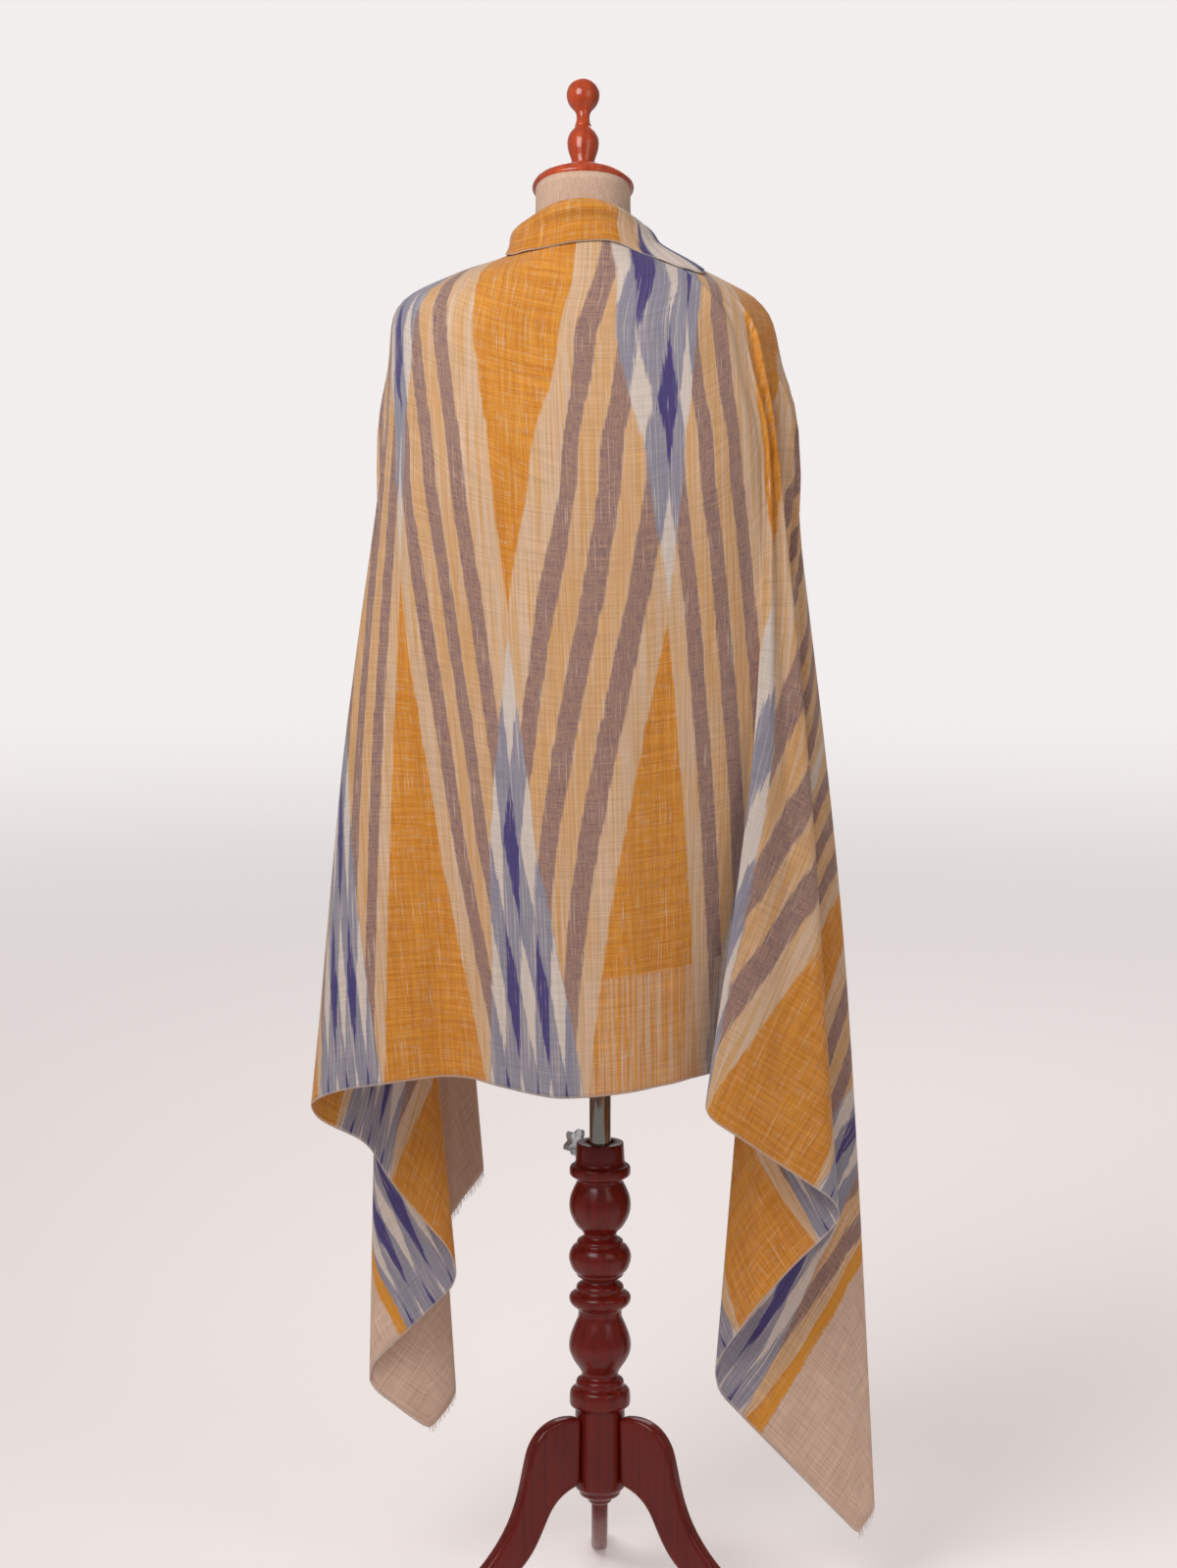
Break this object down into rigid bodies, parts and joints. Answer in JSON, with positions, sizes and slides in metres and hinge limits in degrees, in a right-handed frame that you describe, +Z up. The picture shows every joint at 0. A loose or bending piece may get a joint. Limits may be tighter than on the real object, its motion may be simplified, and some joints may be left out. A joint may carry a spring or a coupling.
{
  "type": "pashmina shawl on a limbless dress form with a stand",
  "caption": "Long striped pashmina shawl draped over a limbless dress form on a turned wooden tripod stand, fringed at both ends.",
  "frame": {"origin": "on the floor under the middle of the whole object", "axes": "+Z up, the back of the shawl faces -Y, the dress form's front faces +Y, +X to the right when looking at the back"},
  "size_m": [0.607, 0.431, 1.6579],
  "materials": {
    "ikat_cloth": "matte hand-woven pashmina with dyed stripes, triangles and lozenges",
    "plain_cloth": "matte undyed hand-woven pashmina",
    "fringe": "loose combed-out yarn ends",
    "linen": "matte linen cover",
    "cherry_wood": "glossy varnish",
    "mahogany": "satin varnish",
    "steel": "polished tube",
    "clear_plastic": "clear moulded plastic"
  },
  "bodies": {
    "stand": {"column": "mahogany", "leg_far": "mahogany", "leg_left": "mahogany", "leg_right": "mahogany"},
    "mast": {"mast": "steel"},
    "knob": {"star_knob": "clear_plastic"},
    "form": {"form_plate": "mahogany", "torso": "linen", "neck_cap": "cherry_wood", "finial": "cherry_wood", "nape_flap": "ikat_cloth", "left_shoulder": "ikat_cloth", "upper_back": "ikat_cloth", "right_shoulder": "ikat_cloth", "left_fall_8": "plain_cloth", "left_fall_7": "plain_cloth", "left_fall_6": "plain_cloth", "left_fall_5": "plain_cloth", "left_fall_4": "plain_cloth", "left_fall_3": "plain_cloth", "left_fall_2": "ikat_cloth", "left_fall_1": "ikat_cloth", "back_left": "ikat_cloth", "back_centre_left": "ikat_cloth", "back_centre_right": "ikat_cloth", "back_right": "ikat_cloth", "right_fall_1": "ikat_cloth", "right_fall_2": "ikat_cloth", "right_fall_3": "ikat_cloth", "right_fall_4": "plain_cloth", "right_fall_5": "plain_cloth", "right_fall_6": "plain_cloth", "right_fall_7": "plain_cloth", "right_fall_8": "plain_cloth", "left_fringe": "fringe", "right_fringe": "fringe"}
  },
  "joints": [
    {"name": "mast_slide", "type": "slide", "parent": "stand", "child": "mast", "axis": [0, 0, 1], "range_m": [-0.012, 0.2]},
    {"name": "form_turn", "type": "hinge", "parent": "mast", "child": "form", "pos_m": [0.0008, -0.0505, 0.74], "axis": [0, 0, 1], "continuous": true},
    {"name": "knob_turn", "type": "hinge", "parent": "stand", "child": "knob", "pos_m": [-0.02512, -0.02271, 0.526], "axis": [-0.682, 0.7314, 0], "continuous": true}
  ]
}
